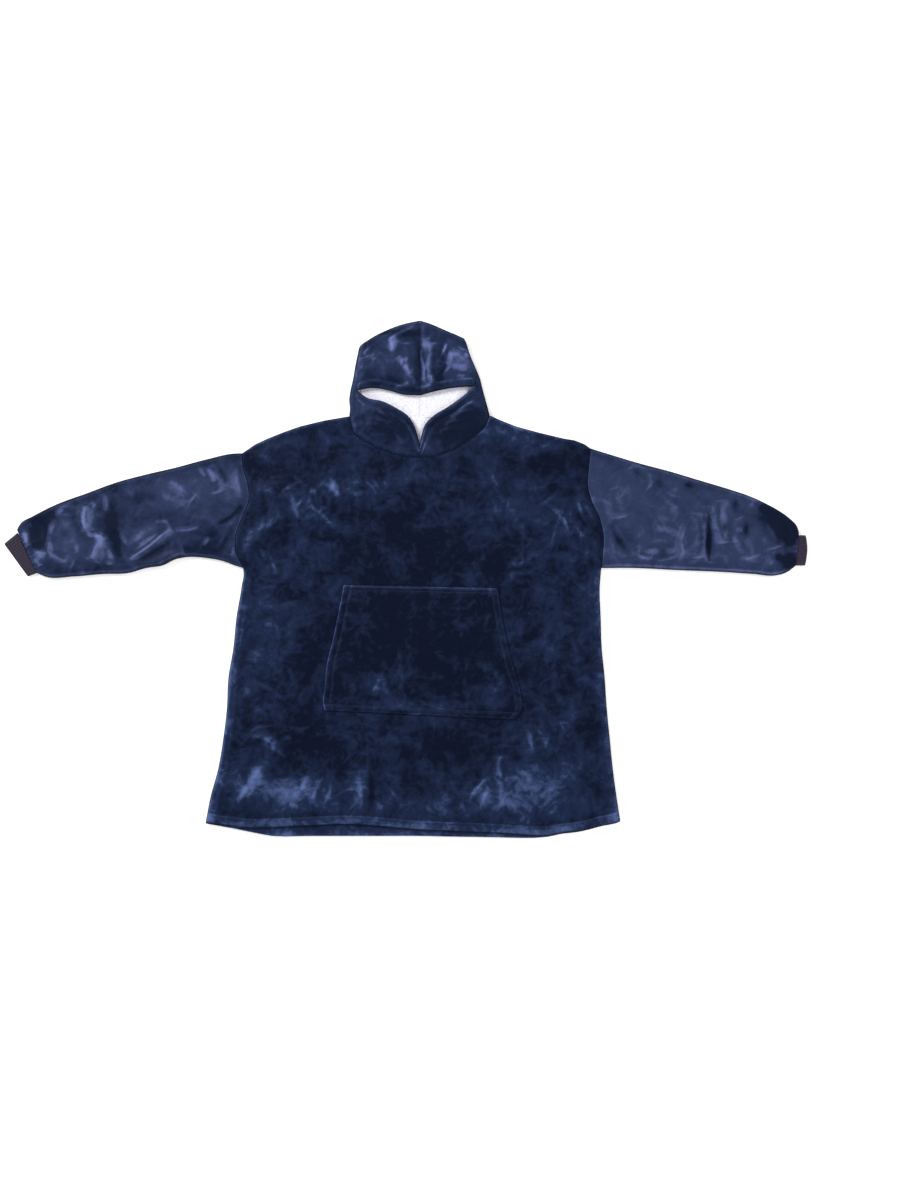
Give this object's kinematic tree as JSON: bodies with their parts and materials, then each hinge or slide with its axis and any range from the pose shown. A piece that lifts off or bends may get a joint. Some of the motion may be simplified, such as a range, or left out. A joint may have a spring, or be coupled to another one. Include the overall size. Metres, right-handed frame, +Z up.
{
  "type": "wearable blanket hoodie",
  "caption": "Oversized wearable blanket hoodie laid flat, front up: plush body with a front pocket, drop-shoulder sleeves with rib cuffs, and a pile-lined hood.",
  "frame": {"origin": "middle of the outline as seen from above, on the surface the garment lies on", "axes": "+X across the body to the right as seen from above, +Y from the hem to the hood, +Z up from the surface"},
  "size_m": [1.61, 1.0369, 0.0268],
  "materials": {
    "plush": "crushed plush pile with a soft sheen",
    "rib_knit": "matte rib knit",
    "pile_lining": "matte white pile"
  },
  "bodies": {
    "root": {"back_panel": "plush", "front_panel": "plush", "pocket": "plush", "sleeve_left": "plush", "sleeve_right": "plush", "cuff_left": "rib_knit", "cuff_right": "rib_knit", "hood_left": "plush", "hood_right": "plush", "hood_lining_left": "pile_lining", "hood_lining_right": "pile_lining", "back_lining": "pile_lining"}
  },
  "joints": []
}
